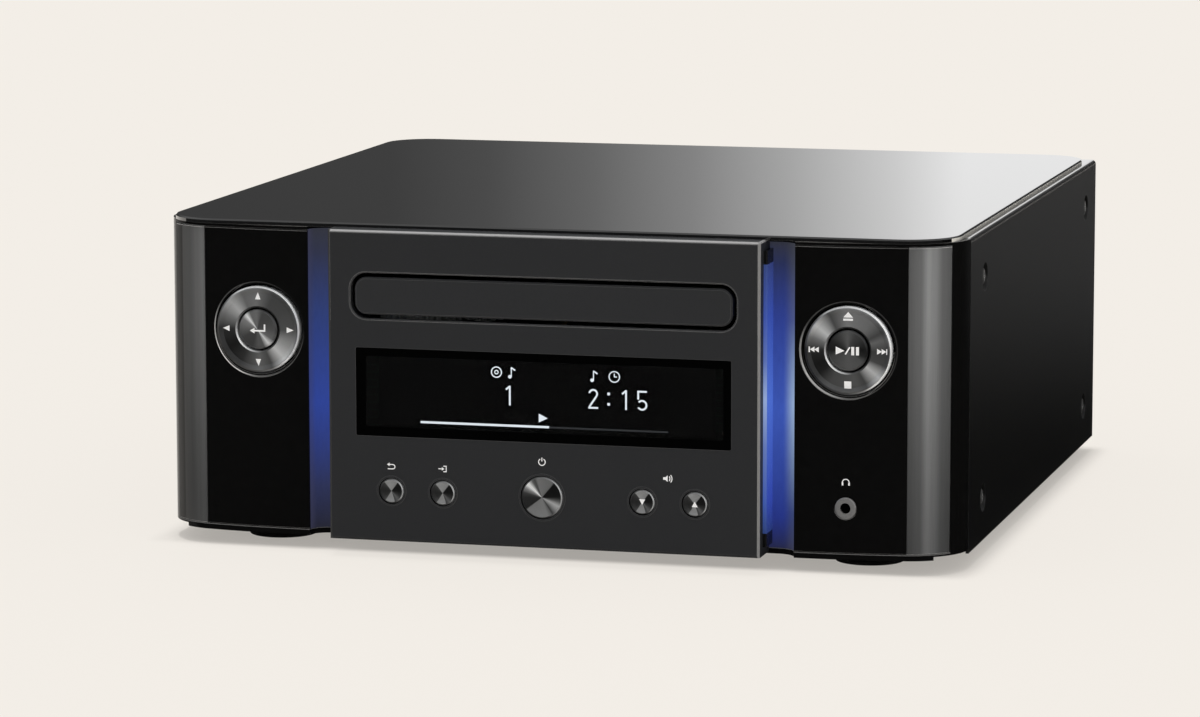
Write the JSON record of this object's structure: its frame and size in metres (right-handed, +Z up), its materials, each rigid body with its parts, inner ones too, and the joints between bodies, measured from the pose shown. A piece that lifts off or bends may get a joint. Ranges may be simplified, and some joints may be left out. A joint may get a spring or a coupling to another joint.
{
  "type": "compact disc receiver",
  "caption": "Compact disc receiver with a raised centre panel, tray drawer, display, two round direction keys in curved gloss wings, a flat gloss top and round feet.",
  "frame": {"origin": "centre of the bounding box at the level that the feet stand on", "axes": "+X to the right seen from the front, +Y to the back, +Z up; the front faces -Y"},
  "size_m": [0.28, 0.303, 0.1133],
  "materials": {
    "gloss_black": "high gloss",
    "satin_grey": "satin metallic",
    "charcoal": "satin",
    "black_steel": "satin",
    "plain_steel": "plain",
    "spun_metal": "spun",
    "foot_plastic": "gloss",
    "screw_black": "black zinc",
    "black_plastic": "fine matt",
    "white_plastic": "natural",
    "clear_guide": "clear",
    "window": "high gloss",
    "board": "solder resist",
    "brass": "plated",
    "belt_rubber": "matt",
    "aluminium": "extruded",
    "cap_red": "clear tinted",
    "cap_black": "clear tinted"
  },
  "bodies": {
    "case": {"bottom_chassis": "plain_steel", "feet": "foot_plastic", "screws": "screw_black", "rear_panel": "black_steel", "top_cover": "black_steel", "top_plate": "gloss_black", "front_moulding": "black_plastic", "centre_panel": "charcoal", "wing_left": "gloss_black", "wing_right": "gloss_black", "corner_pillars": "satin_grey", "flutes": "satin_grey", "light_guides": "clear_guide", "display_window": "window", "display_module": "black_plastic", "front_boards": "board", "headphone_jack": "black_plastic", "drive_belt": "belt_rubber", "loading_motor": "plain_steel", "loader_frame": "black_plastic", "loader_brackets": "plain_steel", "clamp_bridge": "plain_steel", "main_board": "board", "power_board": "board", "heat_sink": "aluminium", "terminal_block": "black_plastic", "terminal_posts": "brass", "rca_jacks": "brass", "antenna_jack": "plain_steel", "lan_usb_jack": "plain_steel", "ac_inlet": "black_plastic"},
    "tray": {"disc_tray": "black_plastic", "tray_door": "charcoal"},
    "drive_gear": {"drive_gear": "white_plastic"},
    "pulley_gear": {"pulley_gear": "white_plastic"},
    "motor_pulley": {"motor_pulley": "brass"},
    "cam_slider": {"cam_slider": "white_plastic"},
    "traverse": {"traverse_frame": "black_plastic", "spindle_motor": "plain_steel", "guide_rod": "plain_steel", "sled_motor": "plain_steel"},
    "turntable": {"turntable": "black_plastic"},
    "clamper": {"clamper": "white_plastic"},
    "sled": {"pickup_sled": "black_plastic"},
    "feed_screw": {"feed_screw": "white_plastic"},
    "gimbal_left": {"nav_gimbal_left": "white_plastic"},
    "gimbal_right": {"nav_gimbal_right": "white_plastic"},
    "ring_left": {"nav_ring_left": "spun_metal"},
    "ring_right": {"nav_ring_right": "spun_metal"},
    "enter_button": {"enter_button": "spun_metal"},
    "play_button": {"play_button": "spun_metal"},
    "back_button": {"back_button": "spun_metal"},
    "input_button": {"input_button": "spun_metal"},
    "power_button": {"power_button": "spun_metal"},
    "volume_down_button": {"volume_down_button": "spun_metal"},
    "volume_up_button": {"volume_up_button": "spun_metal"},
    "terminal_cap_left_plus": {"terminal_cap_left_plus": "cap_red"},
    "terminal_cap_left_minus": {"terminal_cap_left_minus": "cap_black"},
    "terminal_cap_right_plus": {"terminal_cap_right_plus": "cap_red"},
    "terminal_cap_right_minus": {"terminal_cap_right_minus": "cap_black"}
  },
  "joints": [
    {"name": "tray_slide", "type": "slide", "parent": "case", "child": "tray", "axis": [0, -1, 0], "range_m": [0, 0.135]},
    {"name": "drive_gear_spin", "type": "hinge", "parent": "case", "child": "drive_gear", "pos_m": [-0.0495, -0.12, 0.0805], "axis": [0, 0, 1], "range_deg": [0, 1032]},
    {"name": "pulley_gear_spin", "type": "hinge", "parent": "case", "child": "pulley_gear", "pos_m": [-0.0285, -0.12, 0.0805], "axis": [0, 0, 1], "range_deg": [-2579, 0]},
    {"name": "motor_pulley_spin", "type": "hinge", "parent": "case", "child": "motor_pulley", "pos_m": [0.001, -0.126, 0.0805], "axis": [0, 0, 1], "range_deg": [-10696, 0]},
    {"name": "traverse_tilt", "type": "hinge", "parent": "case", "child": "traverse", "pos_m": [0, 0.006, 0.076], "axis": [1, 0, 0], "range_deg": [0, 3.6]},
    {"name": "cam_slide", "type": "slide", "parent": "case", "child": "cam_slider", "axis": [1, 0, 0], "range_m": [0, 0.01301]},
    {"name": "turntable_spin", "type": "hinge", "parent": "traverse", "child": "turntable", "pos_m": [0, -0.083, 0.0902], "axis": [0, 0, 1], "continuous": true},
    {"name": "clamper_spin", "type": "hinge", "parent": "case", "child": "clamper", "pos_m": [0, -0.083, 0.0926], "axis": [0, 0, 1], "continuous": true},
    {"name": "sled_slide", "type": "slide", "parent": "traverse", "child": "sled", "axis": [0, 1, 0], "range_m": [0, 0.036]},
    {"name": "feed_screw_spin", "type": "hinge", "parent": "traverse", "child": "feed_screw", "pos_m": [0.017, -0.0605, 0.0765], "axis": [0, 1, 0], "range_deg": [0, 4321]},
    {"name": "back_press", "type": "slide", "parent": "case", "child": "back_button", "axis": [0, 1, 0], "range_m": [0, 0.0008], "stiffness_N_per_m": 800, "springref_m": -0.0005},
    {"name": "input_press", "type": "slide", "parent": "case", "child": "input_button", "axis": [0, 1, 0], "range_m": [0, 0.0008], "stiffness_N_per_m": 800, "springref_m": -0.0005},
    {"name": "power_press", "type": "slide", "parent": "case", "child": "power_button", "axis": [0, 1, 0], "range_m": [0, 0.0008], "stiffness_N_per_m": 800, "springref_m": -0.0005},
    {"name": "volume_down_press", "type": "slide", "parent": "case", "child": "volume_down_button", "axis": [0, 1, 0], "range_m": [0, 0.0008], "stiffness_N_per_m": 800, "springref_m": -0.0005},
    {"name": "volume_up_press", "type": "slide", "parent": "case", "child": "volume_up_button", "axis": [0, 1, 0], "range_m": [0, 0.0008], "stiffness_N_per_m": 800, "springref_m": -0.0005},
    {"name": "enter_press", "type": "slide", "parent": "case", "child": "enter_button", "axis": [0, 1, 0], "range_m": [0, 0.0008], "stiffness_N_per_m": 800, "springref_m": -0.0005},
    {"name": "play_press", "type": "slide", "parent": "case", "child": "play_button", "axis": [0, 1, 0], "range_m": [0, 0.0008], "stiffness_N_per_m": 800, "springref_m": -0.0005},
    {"name": "ring_left_up_down", "type": "hinge", "parent": "case", "child": "gimbal_left", "pos_m": [-0.1029, -0.13698, 0.0757], "axis": [1, 0, 0], "range_deg": [-2.5, 2.5], "stiffness_Nm_per_rad": 0.08},
    {"name": "ring_left_left_right", "type": "hinge", "parent": "gimbal_left", "child": "ring_left", "pos_m": [-0.1029, -0.13698, 0.0757], "axis": [0, 0, 1], "range_deg": [-2.5, 2.5], "stiffness_Nm_per_rad": 0.08},
    {"name": "ring_right_up_down", "type": "hinge", "parent": "case", "child": "gimbal_right", "pos_m": [0.1029, -0.13698, 0.0757], "axis": [1, 0, 0], "range_deg": [-2.5, 2.5], "stiffness_Nm_per_rad": 0.08},
    {"name": "ring_right_left_right", "type": "hinge", "parent": "gimbal_right", "child": "ring_right", "pos_m": [0.1029, -0.13698, 0.0757], "axis": [0, 0, 1], "range_deg": [-2.5, 2.5], "stiffness_Nm_per_rad": 0.08},
    {"name": "cap_left_plus_turn", "type": "hinge", "parent": "case", "child": "terminal_cap_left_plus", "pos_m": [-0.0945, 0.142, 0.0515], "axis": [0, 1, 0], "range_deg": [0, 1080]},
    {"name": "cap_left_minus_turn", "type": "hinge", "parent": "case", "child": "terminal_cap_left_minus", "pos_m": [-0.0945, 0.142, 0.0325], "axis": [0, 1, 0], "range_deg": [0, 1080]},
    {"name": "cap_right_plus_turn", "type": "hinge", "parent": "case", "child": "terminal_cap_right_plus", "pos_m": [-0.1135, 0.142, 0.0515], "axis": [0, 1, 0], "range_deg": [0, 1080]},
    {"name": "cap_right_minus_turn", "type": "hinge", "parent": "case", "child": "terminal_cap_right_minus", "pos_m": [-0.1135, 0.142, 0.0325], "axis": [0, 1, 0], "range_deg": [0, 1080]}
  ],
  "couplings": [
    {"joint": "drive_gear_spin", "follows": "tray_slide", "rad_per_m": 133.33},
    {"joint": "pulley_gear_spin", "follows": "tray_slide", "rad_per_m": -333.33},
    {"joint": "motor_pulley_spin", "follows": "tray_slide", "rad_per_m": -1382.7},
    {"joint": "cam_slide", "follows": "traverse_tilt", "m_per_rad": 0.2069},
    {"joint": "clamper_spin", "follows": "turntable_spin", "ratio": 1},
    {"joint": "feed_screw_spin", "follows": "sled_slide", "rad_per_m": 2094.4}
  ]
}
